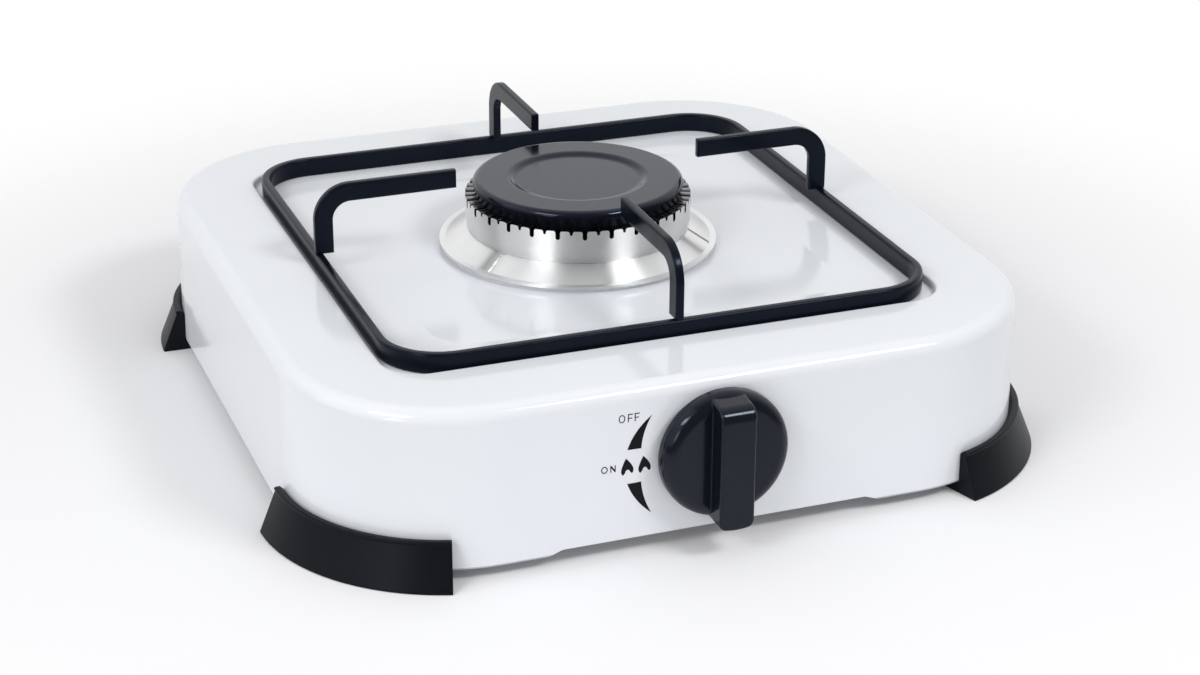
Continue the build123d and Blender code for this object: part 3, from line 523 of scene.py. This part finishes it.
# Painted shade: the lip and sides reflect less than the level faces, set by the way each face points.
cap_sheen_and_painted_lip_shade = add_node(
    tree,
    "ShaderNodeMapRange",
    {"Value": upward, "From Min": 0.1, "From Max": 0.6, "To Min": painted_lip_shade, "To Max": level_sheen},
)
tree.links.new(cap_sheen_and_painted_lip_shade.outputs["Result"], shader.inputs["Specular IOR Level"])
dress(cap_black, "burner_cap")

# Grate: flat steel strip bent to a ring, with four prongs welded on, in black enamel.
# The coat is thinner and less glossy than the cap's, with a blue cast, and rounds the strip's edges.
grate_tones = ("#090e17", "#0d121c")
grate_tint = "#d4e2ff"
grate_roughness = (0.14, 0.24)
grate_cloud = 8 * mm
grate_peel = 1.2 * mm
grate_peel_depth = 0.05 * mm
grate_edge_radius = 1.2 * mm
grate_black, tree, shader, place = new_finish(
    "dip_enamel_black", IOR=1.5, Specular_IOR_Level=0.15, Specular_Tint=linear(grate_tint)
)
cloud = add_node(tree, "ShaderNodeTexNoise", {"Vector": place, "Scale": 1 / grate_cloud, "Detail": 3.0})
vary(tree, shader, cloud.outputs["Fac"], grate_tones, grate_roughness)
peel = add_node(tree, "ShaderNodeTexNoise", {"Vector": place, "Scale": 1 / grate_peel, "Detail": 2.0})
grate_edge = add_node(tree, "ShaderNodeBevel", {"Radius": grate_edge_radius}, samples=edge_samples)
grate_bump = add_node(
    tree,
    "ShaderNodeBump",
    {
        "Height": peel.outputs["Fac"],
        "Strength": 0.15,
        "Distance": grate_peel_depth,
        "Normal": grate_edge.outputs["Normal"],
    },
)
tree.links.new(grate_bump.outputs["Normal"], shader.inputs["Normal"])
dress(
    grate_black, "grate_ring", "grate_prong_front", "grate_prong_left",
    "grate_prong_right", "grate_prong_rear",
)

# Knob: one phenolic moulding with a grip bar across it, pushed onto the spindle over a spring clip.
# It is black and glossy, as it leaves the polished mould, with a faint swirl of the resin's flow.
knob_tones = ("#080c14", "#0c1119")
knob_tint = "#e2ebff"
knob_roughness = (0.1, 0.2)
knob_swirl = 7 * mm
knob_edge_radius = 0.7 * mm
knob_black, tree, shader, place = new_finish(
    "moulded_phenolic_black", IOR=1.5, Specular_IOR_Level=0.33, Specular_Tint=linear(knob_tint)
)
swirl = add_node(tree, "ShaderNodeTexNoise", {"Vector": place, "Scale": 1 / knob_swirl, "Detail": 3.0})
vary(tree, shader, swirl.outputs["Fac"], knob_tones, knob_roughness)
knob_edge = add_node(tree, "ShaderNodeBevel", {"Radius": knob_edge_radius}, samples=edge_samples)
tree.links.new(knob_edge.outputs["Normal"], shader.inputs["Normal"])
dress(knob_black, "knob")

# Table: a plain white disc that fades into the white room, and keeps the stove's shadow.
# It is clear from below, and lets light up through its middle, so that the underside can be seen.
table_colour = "#e9e9eb"
table_radius = 0.4
table_sides = 96
table_fade = 0.17
light_well = 0.115
table_mesh = bmesh.new()
bmesh.ops.create_circle(table_mesh, cap_ends=True, segments=table_sides, radius=table_radius)
table_data = bpy.data.meshes.new("table")
table_mesh.to_mesh(table_data)
table = bpy.data.objects.new("table", table_data)
table.location.z = cad_low.z
bpy.context.scene.collection.objects.link(table)
table_white, tree, shader, place = new_finish(
    "table_white", Base_Color=linear(table_colour), Roughness=0.8, Specular_IOR_Level=0.0
)
reach = add_node(tree, "ShaderNodeVectorMath", {0: place}, operation="LENGTH")
fade = add_node(
    tree,
    "ShaderNodeMapRange",
    {"Value": reach.outputs["Value"], "From Min": table_fade, "From Max": table_radius},
    interpolation_type="SMOOTHSTEP",
)
below = add_node(tree, "ShaderNodeNewGeometry", {}).outputs["Backfacing"]
open_table = add_node(tree, "ShaderNodeMath", {0: fade.outputs["Result"], 1: below}, operation="MAXIMUM")
under_stove = add_node(
    tree,
    "ShaderNodeMath",
    {0: reach.outputs["Value"], 1: light_well},
    operation="LESS_THAN",
)
looked_at = add_node(tree, "ShaderNodeLightPath", {}).outputs["Is Camera Ray"]
lit_through = add_node(
    tree,
    "ShaderNodeMath",
    {0: under_stove.outputs[0], 1: looked_at},
    operation="SUBTRACT",
)
hidden = add_node(
    tree,
    "ShaderNodeMath",
    {0: open_table.outputs[0], 1: lit_through.outputs[0]},
    operation="MAXIMUM",
)
clear = add_node(tree, "ShaderNodeBsdfTransparent", {})
faded = add_node(
    tree,
    "ShaderNodeMixShader",
    {0: hidden.outputs[0], 1: shader.outputs["BSDF"], 2: clear.outputs["BSDF"]},
)
tree.links.new(faded.outputs["Shader"], tree.nodes["Material Output"].inputs["Surface"])
table_data.materials.append(table_white)

# Room: white to the camera, and a soft light on all matt surfaces. Glossy ones see the white
# backdrop behind the stove, and a dimmer room round it. The backdrop fades from its core to its rim,
# which are cosines of the angle from its middle.
room_colour = "#ffffff"
room_white = 1.0
room_light = 0.63
room_dim = 0.25
towards_backdrop = (0.32, 0.85, 0.41)
backdrop_rim = -0.1
backdrop_core = 0.7
world = bpy.data.worlds.new("studio")
bpy.context.scene.world = world
world.use_nodes = True
tree = world.node_tree
rays = add_node(tree, "ShaderNodeLightPath", {})
direction = add_node(tree, "ShaderNodeTexCoord", {}).outputs["Generated"]
near_backdrop = add_node(
    tree,
    "ShaderNodeVectorMath",
    {0: direction, 1: towards_backdrop},
    operation="DOT_PRODUCT",
)
mirrored = add_node(
    tree,
    "ShaderNodeMapRange",
    {
        "Value": near_backdrop.outputs["Value"],
        "From Min": backdrop_rim,
        "From Max": backdrop_core,
        "To Min": room_dim,
        "To Max": room_white,
    },
    interpolation_type="SMOOTHSTEP",
)
unseen = add_node(
    tree,
    "ShaderNodeMix",
    {0: rays.outputs["Is Glossy Ray"], 2: room_light, 3: mirrored.outputs["Result"]},
)
seen = add_node(
    tree,
    "ShaderNodeMath",
    {0: rays.outputs["Is Camera Ray"], 1: rays.outputs["Is Transmission Ray"]},
    operation="MAXIMUM",
)
level = add_node(tree, "ShaderNodeMix", {0: seen.outputs[0], 2: unseen.outputs[0], 3: room_white})
tree.links.new(level.outputs[0], tree.nodes["Background"].inputs["Strength"])
tree.nodes["Background"].inputs["Color"].default_value = linear(room_colour)


# Lamps: two small softboxes over the front, which draw the bright streaks on the burner and the
# edges, a broad one for the left side, and a low one that fills the front.
def softbox(name, place, aim, width, depth, watts):
    """Rectangular studio lamp at a place, turned towards its aim."""
    lamp = bpy.data.lights.new(name, "AREA")
    lamp.shape = "RECTANGLE"
    lamp.size = width
    lamp.size_y = depth
    lamp.energy = watts
    holder = bpy.data.objects.new(name, lamp)
    holder.location = place
    holder.rotation_euler = (Vector(aim) - Vector(place)).to_track_quat("-Z", "Y").to_euler()
    bpy.context.scene.collection.objects.link(holder)


softbox(
    "overhead_right", place=(0.54, -0.83, 0.98), aim=(0.0, -0.05, 0.05), width=0.42, depth=0.24, watts=6.8
)
softbox(
    "overhead_left", place=(-0.97, -0.62, 0.86), aim=(-0.05, -0.05, 0.05), width=0.5, depth=0.22, watts=4.2
)
softbox("side_fill", place=(-1.8, -0.3, 1.1), aim=(0.0, 0.0, 0.05), width=2.4, depth=2.4, watts=12.8)
softbox("front_fill", place=(-1.2, -1.0, 0.35), aim=(0.0, 0.0, 0.05), width=0.3, depth=0.35, watts=1.3)

# Camera: a long lens about a metre away, a little above the stove and to the left of its knob.
# It aims near the burner's axis, just above the table.
camera_azimuth = math.radians(-20.735)
camera_elevation = math.radians(23.934)
camera_roll = math.radians(0.296)
camera_distance = 0.9509
camera_target = Vector((13.07, 11.27, 10.18)) * mm
camera_data = bpy.data.cameras.new("camera")
camera_data.sensor_width = 36.0
camera_data.lens = 76.11
camera = bpy.data.objects.new("camera", camera_data)
back = Vector((
    math.sin(camera_azimuth) * math.cos(camera_elevation),
    -math.cos(camera_azimuth) * math.cos(camera_elevation),
    math.sin(camera_elevation),
))
camera.location = camera_target + camera_distance * back
aim = (-back).to_track_quat("-Z", "Y").to_matrix() @ Matrix.Rotation(camera_roll, 3, "Z")
camera.rotation_euler = aim.to_euler()
bpy.context.scene.collection.objects.link(camera)
bpy.context.scene.camera = camera
bpy.context.scene.view_settings.view_transform = "Standard"
